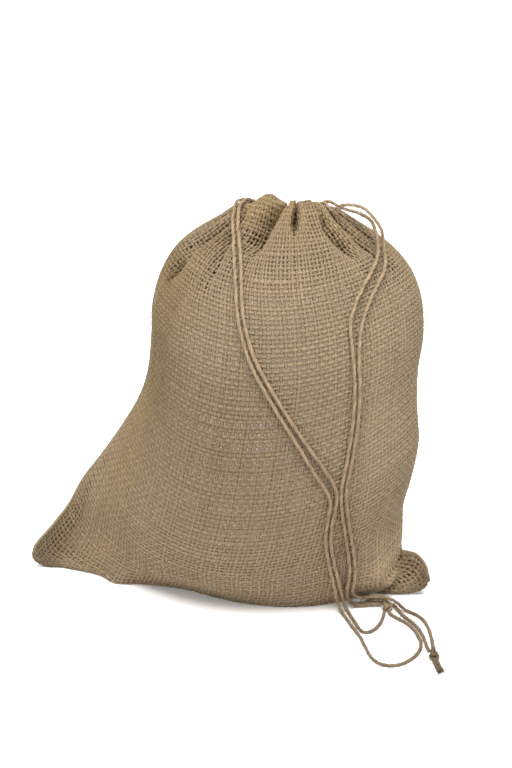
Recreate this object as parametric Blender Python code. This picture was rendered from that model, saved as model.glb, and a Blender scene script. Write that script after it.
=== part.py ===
"""A filled hessian drawstring sack that stands on its base with its mouth drawn shut.

The bag is one length of cloth, folded at the bottom and sewn up both sides, so its two bottom
corners stick out as ears. Two jute drawstrings leave the mouth, one at each end. Each has two
strands, which run down the front and end together in a knot on the surface.

Tables and lengths are in millimetres. +Z is up, the front faces -Y, and the origin is on the
surface under the middle of the bag. Each place on the cloth has two coordinates: an across share
from -1 at the left side seam to 1 at the right one, and a height share from 0 at the bottom fold
to 1 at the hem inside the mouth.
"""

import math

import bmesh
import bpy
import numpy as np
from mathutils import Vector
from mathutils.bvhtree import BVHTree

MM = 0.001
COLLECTION = "hessian_sack"

# Driving dimensions
TWINE = 2.2
ROWS = 34
COLUMNS = 58  # on each of the two panels
POINT_STEP = 6.0  # between the points of a string
STRING_LIFT = 0.8  # between a string and the bag that it lies on, at its points
FLOOR_GAP = 0.02  # under a string that lies on the surface
STRING_SMOOTHINGS = 6  # passes that ease a string's line where the bag pushes it out
KNOT_CORNERS = 12  # round a knot
FOLD_SHARE = 0.80  # how much of a gather's depth these broad faces carry
MOUTH_FOLD_SHARE = 0.12  # how much of a gather's depth is left over the crest
MOUTH_EASE = (0.895, 0.945)  # the height shares between which a gather loses the rest
FOLD_POWER = 1.6  # how bluntly a gather's valley ends: 2 is a bell, and less is more pointed
SEAM_POWER = 8  # gathers die away this fast towards the side seams
SWELL_SEAM_POWER = 20  # and swells this fast
MOUTH_FLOOR = (37.0, 10.0, 221.0)  # where the drawn cloth meets inside the mouth

# The side seams and the middle lines of the two panels, from the bottom fold up to the hem.
# Columns: x, y, z.
LEFT_SEAM = (
    (-125, -9, 9.5),
    (-123, -9, 15.5),
    (-117, -7.5, 23),
    (-110, -5, 31.5),
    (-102, -2.5, 43),
    (-93.5, 0, 59),
    (-81, 2, 76),
    (-66, 3, 98),
    (-54, 4, 119),
    (-48, 5, 138),
    (-46, 6, 160),
    (-46, 7, 176),
    (-42, 8, 193),
    (-34, 9, 208),
    (-22, 9, 219),
    (-6, 9, 229),
    (7, 9, 237),
    (19, 9, 235),
    (26, 9, 227),
)
RIGHT_SEAM = (
    (124.5, 5, 10),
    (124.5, 6, 16),
    (121.5, 7, 21.5),
    (117, 7.5, 25.5),
    (112.5, 6, 27),
    (109, 4, 28),
    (108.5, 1, 33),
    (109.2, -1, 42),
    (109.5, -3, 60),
    (113.5, -2, 76),
    (117, 0, 98),
    (115, 2, 122),
    (115, 4, 142),
    (117.5, 5, 163),
    (116, 6, 184),
    (110, 8, 200),
    (101, 9, 212),
    (89, 9, 222),
    (74, 9, 231),
    (62, 9, 237),
    (52, 9, 235),
    (46, 9, 227),
)
FRONT_LINE = (
    (13, 0, -5),
    (13, -25, -4),
    (13, -39, 6),
    (14, -58, 26),
    (16, -69, 52),
    (19, -72, 85),
    (23, -69, 120),
    (28, -60, 155),
    (32, -47, 186),
    (35, -32, 211),
    (36, -21, 230.5),
    (37, -10, 242.5),
    (37, -2, 240.5),
    (37, 2, 230),
)
BACK_LINE = (
    (13, 0, -5),
    (13, 34, -4),
    (14, 50, 8),
    (16, 63, 28),
    (19, 70, 55),
    (23, 72, 88),
    (27, 69, 122),
    (31, 61, 154),
    (34, 51, 184),
    (36, 42, 205),
    (37, 32, 221),
    (37, 24, 230),
    (37, 18, 228),
    (37, 16, 219),
)

# How a row of cloth runs from a seam to a middle line.
# Columns: height share, roundness of the left and right halves as seen from above (0.5 is an
# ellipse, and 1 a point at the seam), and how late the left and right halves fall to the middle.
ROW_SHAPE = (
    (0.00, 0.80, 0.60, 0.45, 0.60),
    (0.08, 0.92, 0.56, 0.60, 0.90),
    (0.20, 0.72, 0.52, 1.60, 1.40),
    (0.35, 0.58, 0.50, 2.10, 1.80),
    (0.50, 0.50, 0.50, 2.20, 2.00),
    (0.75, 0.50, 0.50, 2.20, 2.00),
    (1.00, 0.50, 0.50, 1.50, 1.50),
)

# The gathers: valleys that run down from the mouth and fade out.
# Columns: depth, half-widths to the left and to the right, the share of the valley's length in
# which it fades in at its foot, and its path from mouth to foot as (across, height share) pairs.
FRONT_FOLDS = (
    (4.0, 0.05, 0.05, 0.60, ((-0.93, 0.94), (-0.93, 0.76))),
    (6.5, 0.06, 0.05, 0.60, ((-0.78, 0.94), (-0.80, 0.86), (-0.85, 0.73))),
    (
        16.0,
        0.10,
        0.026,
        0.16,
        ((-0.68, 0.94), (-0.64, 0.88), (-0.68, 0.825), (-0.70, 0.79), (-0.69, 0.755), (-0.72, 0.71)),
    ),
    (7.0, 0.06, 0.035, 0.60, ((-0.52, 0.94), (-0.50, 0.87), (-0.46, 0.825), (-0.41, 0.777), (-0.38, 0.70))),
    (
        16.0,
        0.16,
        0.030,
        0.35,
        ((0.11, 0.94), (0.012, 0.925), (-0.03, 0.91), (-0.09, 0.885), (-0.152, 0.848), (-0.19, 0.82)),
    ),
    (10.0, 0.030, 0.035, 0.50, ((0.27, 0.94), (0.205, 0.90), (0.18, 0.865))),
    (
        14.0,
        0.028,
        0.12,
        0.35,
        ((0.57, 0.94), (0.565, 0.907), (0.545, 0.88), (0.555, 0.858), (0.60, 0.823), (0.63, 0.79)),
    ),
    (6.5, 0.05, 0.06, 0.60, ((0.80, 0.94), (0.80, 0.84), (0.79, 0.70))),
    (6.0, 0.04, 0.05, 0.40, ((0.95, 0.94), (0.90, 0.79), (0.84, 0.755), (0.84, 0.73), (0.87, 0.70))),
)
BACK_FOLDS = (
    (3.5, 0.05, 0.05, 0.60, ((-0.92, 0.94), (-0.92, 0.79))),
    (9.0, 0.07, 0.05, 0.50, ((-0.71, 0.94), (-0.74, 0.84), (-0.77, 0.67))),
    (7.5, 0.05, 0.05, 0.60, ((-0.48, 0.94), (-0.50, 0.77))),
    (11.0, 0.04, 0.12, 0.50, ((-0.26, 0.94), (-0.23, 0.84), (-0.18, 0.70))),
    (7.5, 0.05, 0.05, 0.60, ((-0.02, 0.94), (-0.05, 0.82))),
    (10.5, 0.11, 0.04, 0.50, ((0.22, 0.94), (0.20, 0.82), (0.16, 0.66))),
    (7.5, 0.05, 0.05, 0.60, ((0.46, 0.94), (0.52, 0.78))),
    (9.0, 0.05, 0.09, 0.50, ((0.68, 0.94), (0.65, 0.82), (0.61, 0.70))),
    (5.0, 0.05, 0.05, 0.60, ((0.90, 0.94), (0.92, 0.72))),
)

# Soft dents and swells over the filling.
# Columns: across share, height share, their half-widths, lean (across per height), height.
FRONT_SWELLS = (
    (-0.32, 0.955, 0.20, 0.040, 0.0, 4.0),
    (0.62, 0.947, 0.20, 0.050, 0.0, 3.2),
    (0.40, 0.895, 0.06, 0.030, 0.0, -1.5),
    (-0.47, 0.660, 0.06, 0.110, 0.6, 3.0),
    (-0.66, 0.560, 0.10, 0.160, 0.7, -2.0),
    (0.885, 0.070, 0.06, 0.045, 4.0, -7.0),
    (0.79, 0.115, 0.07, 0.060, -0.8, 5.0),
    (0.96, 0.035, 0.06, 0.035, 0.0, 3.0),
    (-0.84, 0.080, 0.035, 0.060, -0.5, -1.5),
    (-0.92, 0.045, 0.09, 0.050, 0.0, 3.5),
    (-0.62, 0.200, 0.12, 0.050, 0.9, -2.0),
    (-0.19, 0.090, 0.20, 0.060, 0.0, -3.5),
    (0.35, 0.095, 0.26, 0.045, 0.0, 4.5),
    (-0.51, 0.065, 0.07, 0.040, 0.0, 8.0),
    (0.35, 0.250, 0.18, 0.080, 0.3, -1.5),
)
BACK_SWELLS = (
    (0.50, 0.560, 0.10, 0.150, -0.6, 2.5),
    (-0.45, 0.480, 0.12, 0.140, 0.5, -2.5),
    (0.88, 0.090, 0.05, 0.050, 2.0, -5.0),
    (0.96, 0.035, 0.06, 0.035, 0.0, 4.0),
    (-0.87, 0.090, 0.05, 0.060, -1.0, -1.0),
    (-0.92, 0.045, 0.09, 0.050, 0.0, 3.5),
    (0.55, 0.220, 0.14, 0.060, -0.7, -2.0),
)

# The strings' routes, each from the mouth to its knot. Columns: x, y, z.
ROUTES = {
    "string_left_a": (
        (12, 10, 236.5),
        (7, 8, 238.5),
        (4.5, 4, 237.5),
        (5.5, -2, 234),
        (7, -12, 230.7),
        (10.2, -21.5, 221.6),
        (13.4, -32.5, 209.6),
        (17, -43, 195.2),
        (20, -50, 181.5),
        (26, -57.5, 166),
        (32, -61.5, 154.5),
        (45.5, -66, 134.5),
        (59, -66, 113.5),
        (70, -62.5, 93.5),
        (75, -60, 85),
        (76.8, -58.5, 77),
        (75, -57.5, 68),
        (73, -54.5, 54),
        (73.5, -46.5, 36),
        (74.5, -37, 20),
        (75, -32, 10),
        (76.5, -31.5, 4),
        (79.5, -35.5, 1),
        (89, -53.5, 1),
        (97, -68, 1),
        (103.5, -83, 1),
        (107.5, -92, 1),
        (112, -98.5, 1),
        (117.5, -102, 1),
        (122.5, -101.5, 1),
        (127, -98, 1),
        (131, -90, 1),
        (133.3, -80, 1),
        (133, -70, 1),
        (130, -60, 1),
        (125.5, -50.5, 1),
        (120.5, -43, 1),
        (114.5, -37.5, 1),
        (110, -33.5, 1.2),
        (106.8, -30.7, 1.8),
    ),
    "string_left_b": (
        (15, 9, 237),
        (11, 5.5, 239.5),
        (8.5, 1, 237),
        (9.2, -4.8, 236.2),
        (10, -9.6, 234.9),
        (11, -14.7, 231),
        (13, -20.5, 223),
        (16, -29, 214.5),
        (18.5, -37, 204),
        (20.9, -45, 191.5),
        (23.2, -50, 182),
        (29.5, -57.5, 166),
        (35.5, -61, 155.5),
        (48.5, -65, 136.5),
        (62, -64.5, 116.5),
        (73.5, -60.5, 98.5),
        (78, -58.5, 90),
        (80, -57, 83),
        (79.2, -56.6, 75),
        (77, -55.8, 64),
        (75.8, -52, 50),
        (76.4, -44.5, 35),
        (77.3, -35.5, 20),
        (78, -29, 9),
        (79.5, -28.5, 4),
        (82, -32, 1),
        (88, -44, 1),
        (93.6, -55.4, 1),
        (97, -60.3, 1),
        (100.5, -60.3, 1),
        (103, -55.5, 1),
        (104.4, -48, 1),
        (104.8, -40, 1),
        (104.4, -34.5, 1.2),
        (104.3, -30.6, 1.8),
    ),
    "string_right_a": (
        (66, 11, 235),
        (72, 8, 235.3),
        (78, 4.5, 234.8),
        (83.5, 1, 233.6),
        (87, -1.5, 231.5),
        (89, -2.6, 228),
        (91, -4, 223),
        (91.5, -5, 218.5),
        (92.5, -9, 213.5),
        (91, -20.5, 206.5),
        (87, -30.5, 197),
        (83.8, -38, 186),
        (83.5, -42, 178),
        (86.5, -46.5, 160.5),
        (88, -49, 140.5),
        (87, -51, 120.5),
        (84.5, -54, 100),
        (82.4, -56, 86),
        (82.3, -54.5, 73.5),
        (83.5, -48.5, 55.5),
        (84, -41, 39),
        (83.8, -35, 28),
        (82.2, -31, 19.5),
        (80.6, -27.5, 11.5),
        (80.8, -24.5, 5),
        (84, -21.5, 1.2),
        (89.5, -18.3, 1),
        (95, -16, 1),
        (100, -14.8, 1),
        (105, -15.5, 1),
        (109, -19.5, 1),
        (112.5, -26.5, 1),
        (117.5, -33.8, 1),
        (123, -40.5, 1),
        (128.1, -48.9, 1),
        (132.7, -59.4, 1),
        (136, -70, 1),
        (139, -78, 1.5),
    ),
    "string_right_b": (
        (60, 3, 232),
        (64, 1, 236.5),
        (69, -1.5, 240),
        (75, -3, 241),
        (80.5, -3, 240.2),
        (85, -3, 237.8),
        (91.7, -3, 230),
        (93.8, -3, 225.5),
        (94.4, -2.5, 218),
        (96.2, -5.5, 210.8),
        (97.4, -14.5, 206.2),
        (94.6, -24.6, 198.3),
        (90.8, -34, 187),
        (89, -40.5, 175),
        (89.3, -45, 160),
        (90.5, -47.1, 140),
        (89.6, -49.3, 120.3),
        (87.2, -52.5, 100),
        (84.9, -54.3, 86),
        (85, -52.6, 73),
        (86.2, -46.5, 55),
        (86.8, -38, 38),
        (86.5, -32.3, 26.3),
        (85.2, -28.2, 17.7),
        (83.6, -25, 11.5),
        (84, -22.5, 7),
        (87, -20.5, 5),
        (91, -19.2, 5),
        (96, -18.8, 6),
        (101, -19.8, 6.7),
        (105.5, -21.3, 6.7),
        (110.7, -22, 4.7),
        (116, -23.8, 1),
        (121, -27, 1),
        (125.5, -31, 1),
        (130, -38, 1),
        (134, -48.3, 1),
        (137.4, -60, 1),
        (140, -71, 1),
        (141.5, -77.6, 1.5),
    ),
}

# The knots, each from its near end, where its strands go in, to its far end.
# Columns: distance from the near end, half-width, half-height.
SHORT_KNOT = (
    (0.0, 1.2, 1.2),
    (1.5, 2.8, 2.2),
    (3.5, 3.4, 2.7),
    (5.0, 3.0, 2.4),
    (6.5, 3.3, 2.6),
    (8.5, 2.6, 2.1),
    (10.0, 1.2, 1.2),
)
TAILED_KNOT = (
    (0.0, 1.5, 1.4),
    (1.5, 2.6, 2.2),
    (4.5, 3.0, 2.6),
    (7.5, 2.7, 2.4),
    (10.5, 2.9, 2.5),
    (13.0, 2.5, 2.1),
    (15.0, 2.1, 1.4),
    (18.0, 2.3, 1.2),
    (22.0, 2.4, 1.2),
    (26.0, 2.3, 1.1),
)
# Columns: name, near end x and y, heading in degrees from +X, profile.
KNOTS = (
    ("knot_left", 105.4, -29.6, 97.0, SHORT_KNOT),
    ("knot_right", 140.4, -78.8, -70.0, TAILED_KNOT),
)

HESSIAN = ("hessian", (0.30, 0.215, 0.125, 1.0), 0.95)
JUTE = ("jute", (0.40, 0.29, 0.17, 1.0), 0.9)


def clear_scene():
    """Starts from an empty scene."""
    for old in list(bpy.data.objects):
        bpy.data.objects.remove(old, do_unlink=True)


def make_material(name, colour, roughness):
    """One plain Principled material."""
    material = bpy.data.materials.new(name)
    material.use_nodes = True
    shader = material.node_tree.nodes["Principled BSDF"]
    shader.inputs["Base Color"].default_value = colour
    shader.inputs["Roughness"].default_value = roughness
    shader.inputs["Metallic"].default_value = 0.0
    return material


def smooth_curve(places, points, wanted):
    """Values at wanted of a smooth curve that has points at places (a cubic through them)."""
    gaps = np.diff(places)[:, None]
    slopes = np.empty_like(points)
    slopes[1:-1] = (points[2:] - points[:-2]) / (gaps[1:] + gaps[:-1])
    slopes[[0, -1]] = (points[[1, -1]] - points[[0, -2]]) / gaps[[0, -1]]
    i = np.clip(np.searchsorted(places, wanted, side="right") - 1, 0, len(gaps) - 1)
    gap = gaps[i]
    t = (wanted - places[i])[:, None] / gap
    start = (1 + 2 * t) * (1 - t) ** 2 * points[i] + t * (1 - t) ** 2 * gap * slopes[i]
    end = (3 - 2 * t) * t**2 * points[i + 1] - (1 - t) * t**2 * gap * slopes[i + 1]
    return start + end


def lengths_along(points):
    """The length from the first point to each point."""
    steps = np.linalg.norm(np.diff(points, axis=0), axis=1)
    return np.concatenate([[0.0], np.cumsum(steps)])


def through(points, steps=600):
    """A dense smooth line through the points."""
    points = np.array(points, float)
    places = np.concatenate([[0.0], np.cumsum(np.sqrt(np.diff(lengths_along(points))))])
    return smooth_curve(places, points, np.linspace(0, places[-1], steps))


def at_shares(line, shares):
    """The points of a dense line at these shares of its length."""
    run = lengths_along(line)
    return np.stack([np.interp(shares, run / run[-1], line[:, k]) for k in range(3)], -1)


def half_row(seam, middle, roundness, lateness, steps=120):
    """Rows of points from the seam to the middle line, one row for each height share."""
    turn = np.linspace(0, math.pi / 2, steps)[None, :]
    forward = np.sin(turn) ** (2 * roundness[:, None])
    fall = np.sin(turn) ** lateness[:, None]
    shares = np.stack([1 - np.cos(turn) + 0 * forward, forward, fall], -1)
    return seam[:, None] + (middle - seam)[:, None] * shares


def smooth_step(t):
    """0 up to 0, 1 from 1, and smooth between."""
    t = np.clip(t, 0, 1)
    return t * t * (3 - 2 * t)


def valley_line(path, up):
    """The across share of a valley at these height shares, and the shares of its foot and mouth."""
    path = np.array(path)[::-1]
    foot, mouth = path[0, 1], path[-1, 1]
    return smooth_curve(path[:, 1], path[:, :1], np.clip(up, foot, mouth)), foot, mouth


def fold_height(folds, across, up):
    """How far the gathers sink into the cloth's smooth form, over a grid of columns and rows."""
    height = np.zeros((len(up), len(across)))
    past_crest = smooth_step((up - MOUTH_EASE[0]) / (MOUTH_EASE[1] - MOUTH_EASE[0]))
    for depth, left_width, right_width, fade, path in folds:
        valley, foot, mouth = valley_line(path, up)
        shift = across[None, :] - valley
        reach = np.where(shift < 0, -shift / left_width, shift / right_width)
        strength = smooth_step((up - foot) / (fade * (mouth - foot)))
        strength = FOLD_SHARE * depth * strength * (1 - (1 - MOUTH_FOLD_SHARE) * past_crest)
        height -= strength[:, None] * np.exp(-(reach**FOLD_POWER))
    return height * (1 - across[None, :] ** SEAM_POWER)


def swell_height(swells, across, up):
    """How far the dents and swells stand out of the cloth's smooth form."""
    across, up = across[None, :], up[:, None]
    height = np.zeros(np.broadcast(across, up).shape)
    for middle, middle_up, half_width, half_height, lean, rise in swells:
        shift = across - middle - lean * (up - middle_up)
        reach = (shift / half_width) ** 2 + ((up - middle_up) / half_height) ** 2
        height += rise * np.exp(-reach)
    return height * (1 - across**SWELL_SEAM_POWER)


def outward(points):
    """The unit normals of a grid of points, by the differences between neighbours."""
    along_row = np.gradient(points, axis=1)
    up_column = np.gradient(points, axis=0)
    normals = np.cross(along_row, up_column)
    return normals / np.maximum(np.linalg.norm(normals, axis=2, keepdims=True), 1e-9)


def panel(line, folds, swells, up, across, side):
    """The grid of points of one panel. side is 1 at the front and -1 at the back."""
    left = at_shares(through(LEFT_SEAM), up)
    right = at_shares(through(RIGHT_SEAM), up)
    middle = at_shares(through(line), up)
    shape_rows = np.array(ROW_SHAPE)
    shape = smooth_curve(shape_rows[:, 0], shape_rows[:, 1:], up)
    left_half = half_row(left, middle, shape[:, 0], shape[:, 2])
    right_half = half_row(right, middle, shape[:, 1], shape[:, 3])
    rows = np.concatenate([left_half, right_half[:, -2::-1]], axis=1)
    grid = np.stack([at_shares(row, (across + 1) / 2) for row in rows])
    height = fold_height(folds, across, up) + swell_height(swells, across, up)
    grid = grid + side * outward(grid) * height[..., None]
    grid[..., 2] = np.maximum(grid[..., 2], 0)
    return grid


def add_object(name, mesh, material, collection):
    """A smooth-shaded object of this mesh with one material."""
    mesh.materials.append(material)
    for face in mesh.polygons:
        face.use_smooth = True
    made = bpy.data.objects.new(name, mesh)
    collection.objects.link(made)
    return made


def add_sack(material, collection):
    """The filled bag: one loft of closed rows, from the bottom fold to the floor of the mouth."""
    up = np.linspace(0, 1, ROWS + 1)
    across = np.linspace(-1, 1, COLUMNS + 1)
    front = panel(FRONT_LINE, FRONT_FOLDS, FRONT_SWELLS, up, across, 1)
    back = panel(BACK_LINE, BACK_FOLDS, BACK_SWELLS, up, across, -1)
    rings = np.concatenate([front, back[:, -2:0:-1]], axis=1) * MM
    fold = front[0] * MM
    shape = bmesh.new()
    base = [shape.verts.new(point) for point in fold]
    ring = base + base[-2:0:-1]
    for points in rings[1:]:
        upper = [shape.verts.new(point) for point in points]
        for i, corner in enumerate(ring):
            j = (i + 1) % len(ring)
            corners = [corner, ring[j], upper[j], upper[i]]
            shape.faces.new(corners)
        ring = upper
    floor = shape.verts.new(Vector(MOUTH_FLOOR) * MM)
    for i, corner in enumerate(ring):
        shape.faces.new([corner, ring[(i + 1) % len(ring)], floor])
    bmesh.ops.recalc_face_normals(shape, faces=shape.faces)
    bmesh.ops.triangulate(shape, faces=shape.faces)
    mesh = bpy.data.meshes.new("sack")
    shape.to_mesh(mesh)
    shape.free()
    return add_object("sack", mesh, material, collection)


def laid(line, sack_tree):
    """The line pushed clear of the bag, and up to the surface that it stands on."""
    clear = (TWINE / 2 + STRING_LIFT) * MM
    lowest = (TWINE / 2 + FLOOR_GAP) * MM
    out = []
    for point in line:
        spot, normal, _, distance = sack_tree.find_nearest(point)
        away = point - spot
        if away.dot(normal) < 0 or distance < clear:
            point = spot + normal * clear
        point.z = max(point.z, lowest)
        out.append(point)
    return out


def string_points(route, sack_tree):
    """The centreline of one string: a smooth line through its route, laid on the bag."""
    line = [Vector(point) * MM for point in through(route, 300)]
    line = np.array([tuple(point) for point in laid(line, sack_tree)])
    for _ in range(STRING_SMOOTHINGS):
        line[1:-1] = (line[:-2] + 2 * line[1:-1] + line[2:]) / 4
    line = np.array([tuple(point) for point in laid([Vector(p) for p in line], sack_tree)])
    count = round(lengths_along(line)[-1] / (POINT_STEP * MM))
    return laid([Vector(p) for p in at_shares(line, np.linspace(0, 1, count + 1))], sack_tree)


def add_string(name, route, sack_tree, material, collection):
    """One strand of twine, as a tube along its route."""
    points = string_points(route, sack_tree)
    curve = bpy.data.curves.new(name, "CURVE")
    curve.dimensions = "3D"
    curve.bevel_depth = TWINE / 2 * MM
    curve.bevel_resolution = 2
    curve.use_fill_caps = True
    spline = curve.splines.new("POLY")
    spline.points.add(len(points) - 1)
    for spot, point in zip(spline.points, points):
        spot.co = (*point, 1.0)
    spline.use_smooth = True
    curve.materials.append(material)
    made = bpy.data.objects.new(name, curve)
    collection.objects.link(made)
    return made


def add_knot(name, x, y, heading, profile, material, collection):
    """A pulled-tight overhand knot that lies on the surface, lofted through its profile."""
    turn = math.radians(heading)
    forward = Vector((math.cos(turn), math.sin(turn), 0))
    side = Vector((-forward.y, forward.x, 0))
    shape = bmesh.new()
    rings = []
    for distance, half_width, half_height in profile:
        middle = Vector((x, y, half_height + FLOOR_GAP)) + forward * distance
        ring = []
        for number in range(KNOT_CORNERS):
            angle = 2 * math.pi * number / KNOT_CORNERS
            rise = Vector((0, 0, half_height * math.sin(angle)))
            place = middle + side * half_width * math.cos(angle) + rise
            ring.append(shape.verts.new(place * MM))
        rings.append(ring)
    for ring, next_ring in zip(rings, rings[1:]):
        for i in range(KNOT_CORNERS):
            j = (i + 1) % KNOT_CORNERS
            shape.faces.new([ring[i], ring[j], next_ring[j], next_ring[i]])
    shape.faces.new(rings[0][::-1])
    shape.faces.new(rings[-1])
    bmesh.ops.recalc_face_normals(shape, faces=shape.faces)
    mesh = bpy.data.meshes.new(name)
    shape.to_mesh(mesh)
    shape.free()
    return add_object(name, mesh, material, collection)


def build():
    """Makes the bag, its strings and their knots."""
    clear_scene()
    collection = bpy.data.collections.new(COLLECTION)
    bpy.context.scene.collection.children.link(collection)
    hessian = make_material(*HESSIAN)
    jute = make_material(*JUTE)
    sack = add_sack(hessian, collection)
    bpy.context.view_layer.update()
    sack_tree = BVHTree.FromObject(sack, bpy.context.evaluated_depsgraph_get())
    for name, route in ROUTES.items():
        add_string(name, route, sack_tree, jute, collection)
    for knot in KNOTS:
        add_knot(*knot, jute, collection)


build()
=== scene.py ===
"""A filled hessian drawstring sack with its mouth drawn shut: the looks.

The cloth is built as it is woven. Each warp and weft yarn is a tube of its own that passes over
and under the yarns it crosses, on the folds of the two panels. Under the weave lies the stuffed
body that shows through its holes. The strings are twisted jute twine of three plies.

Tables and lengths are in millimetres, times MM where a piece is made. +Z is up, the front faces
-Y, and the origin is on the floor under the middle of the bag. Each place on the cloth has two
coordinates: an across share from -1 at the left side seam to 1 at the right one, and a height
share from 0 at the bottom fold to 1 at the hem inside the mouth.
"""

import math

import bpy
import numpy as np
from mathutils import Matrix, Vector
from mathutils.bvhtree import BVHTree


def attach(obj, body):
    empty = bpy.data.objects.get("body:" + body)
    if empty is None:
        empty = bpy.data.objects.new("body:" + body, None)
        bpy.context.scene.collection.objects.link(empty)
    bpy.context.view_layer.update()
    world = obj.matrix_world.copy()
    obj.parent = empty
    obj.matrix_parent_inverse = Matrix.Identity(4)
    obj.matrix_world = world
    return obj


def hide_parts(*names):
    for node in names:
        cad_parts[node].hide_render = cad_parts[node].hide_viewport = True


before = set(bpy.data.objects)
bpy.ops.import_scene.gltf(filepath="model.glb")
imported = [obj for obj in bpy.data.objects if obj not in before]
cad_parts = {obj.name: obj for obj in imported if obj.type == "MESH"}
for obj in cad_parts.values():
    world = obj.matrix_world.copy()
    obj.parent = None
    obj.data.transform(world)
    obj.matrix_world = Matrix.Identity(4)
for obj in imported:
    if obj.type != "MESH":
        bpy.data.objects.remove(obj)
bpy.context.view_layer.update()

MM = 0.001

# The camera looks from this azimuth and elevation, in degrees, at a spot in the bag. Its distances
# and the studio's are in metres, and its lens is in millimetres.
AZIMUTH = 14.0
ELEVATION = 17.0
LOOK_AT = (0.018, 0.0, 0.128)
DISTANCE = 1.2
LENS = 93.75
SENSOR = 36.0
NEAREST_SEEN = 0.05

# The studio. Columns of a light: name, kind, azimuth, elevation, distance, power.
KEY_LIGHT = ("key", "SUN", 15, 75, 3.0, 6.2)
KEY_SPREAD = 50.0  # the angle that the key light fills, in degrees
FILL_LIGHT = ("fill", "AREA", -15, 4, 1.8, 4.0)
FILL_SIZE = 1.4
SURROUND_LIGHT = 0.35
FLOOR_REACH = 40.0
FLOOR_COLOUR = (0.95, 0.95, 0.95)
FLOOR_ROUGHNESS = 0.9
# The floor's glow is painted light that pales its shadows and brightens the foot of the bag.
FLOOR_GLOW = 0.16

# The weave. Pairs are a share and its reach, in steps along the yarn.
WARPS = 92
WEFTS = 118
WARP_WIDTH = 1.8
WEFT_WIDTH = 2.0
YARN_THICKNESS = 0.75
YARN_CORNERS = 4
CRIMP = 0.34  # how far a yarn swings to each side of the cloth's middle
CLOTH_DEPTH = 0.70  # the cloth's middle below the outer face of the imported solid
OWN_WANDER = 0.05  # how far a whole yarn strays to the side, as a share of the pitch
WANDER = ((0.07, 9), (0.025, 2))
STRAIGHT_POWER = 12  # the warps at the seams stray least
OWN_WIDTH = 0.08  # how much a whole yarn's width differs, as a share of the width
UNEVENNESS = ((0.09, 14), (0.07, 3))
WIDTH_LIMITS = (0.62, 1.5)  # the narrowest and widest a yarn gets, as shares of its width
SLUB_REACH = 8
SLUB_START = 1.9  # only the thickest spots swell into a slub
SLUB_GROWTH = 0.9
WIDEST = 0.56  # half of a yarn at its widest, as a share of the pitch: neighbours just overlap
SEAM_ALLOWANCE = 2.4  # how far the wefts run on inside a side seam
SEAM_YARN = 1.9
FLOOR_GAP = 0.02
MAP_MARGIN = 0.004  # what a piece's map leaves free at its ends
MAP_GAP = 0.08  # and beside each tube, as a share of the tube's strip

# The twine
TWINE = 2.2
GAP = 0.3  # between a string and the bag
PLIES = 3
PLY_CORNERS = 6
PLY_SPREAD = 0.86  # how far a ply's middle lies from the twine's, in its own radii
PLY_TURN = 11.0  # the length in which a ply goes once round
PLY_WIDTH = (0.10, 9)  # how much a ply's width differs, and its reach in steps
PLY_FLATNESS = 1.05
TWIST_DRIFT = (0.02, 12)  # how unevenly the twine is twisted, and its reach in steps
STRING_SMOOTHINGS = 6
ROUTE_POINTS = 300
STRING_STEP = 0.85
PATH_STEP = 2.0
ENTRY_POINTS = 40
KNOT_POINTS = 100
KNOT_BODY = 2.0  # a knot's body is where its half-height is at least this

# Stray fibres. Columns of lengths: shortest, how much more on average, longest.
FIBRE = 0.18  # how thick they are
FIBRE_CORNERS = 3
FIBRE_POINTS = 5
FIBRE_TIP = 0.45  # the tip's thickness, as a share of the root's
FIBRE_LIFT = 3.2  # how far the highest ones rise
FIBRE_RISES = (0.7, 2.0)  # from early to late along their length, as a power
FIBRE_CURL = 0.25  # how much a bent one falls short
FIBRE_SLANT = 0.3  # how steeply they leave a string
CLOTH_FIBRES = 1000  # on each panel
CLOTH_FIBRE_LENGTHS = (2.0, 2.6, 14)
CLOTH_FIBRE_AREA = ((-0.99, 0.99), (0.06, 0.97))  # the across and height shares they grow on
CLOTH_FIBRE_BEND = 1.2
CLOTH_FIBRE_ROOT = 0.3  # how deep in the cloth they start
LINT = (1.0, 1.5)  # how much paler than the cloth they are
STRING_FIBRES = 1.6  # for each millimetre of a string
STRING_FIBRE_LENGTHS = (1.2, 1.8, 9)
STRING_FIBRE_BEND = 0.8
STRING_FIBRE_ROOT = 0.42  # how far from the twine's middle they start, as a share of its width
STRING_LINT = 1.15
FRAY = 0.24  # how thick the yarns are that a cut end frays into
FRAY_YARNS = 26
FRAY_SPREAD = 0.5
FRAY_LENGTHS = (3.0, 7.5)
FRAY_START = (0.5, 5.0)  # how far before the end they leave the twine
FRAY_ROOT = 0.33  # how far from its middle the furthest start, as a share of its width
FRAY_DEPTHS = (0.3, 1)  # how far the others do, as shares of that
FRAY_LIFT = 0.8
FRAY_BEND = 0.5

# The gathered rows
MOUTH_FOLD_SHARE = 0.12  # how much of a fold's depth is left over the crest
MOUTH_EASE = (0.895, 0.945)  # the height shares between which a fold loses the rest
FOLD_POWER = 1.6  # how bluntly a fold's valley ends
SEAM_POWER = 8  # folds die away this fast towards the side seams
SWELL_SEAM_POWER = 20  # and swells this fast
GATHERED_WIDTH = 205.0  # the length that the folds and creases keep in the gathered rows
CREASE_HALF_WIDTH = 0.55
CREASE_MOUTH_SHARE = 0.3  # how much of a crease's depth is left over the crest
SHEAR_ROWS = 22  # fine rows over which the warp drifts into a gather
FINE_ROWS = 420
FINE_COLUMNS = 1600

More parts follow.
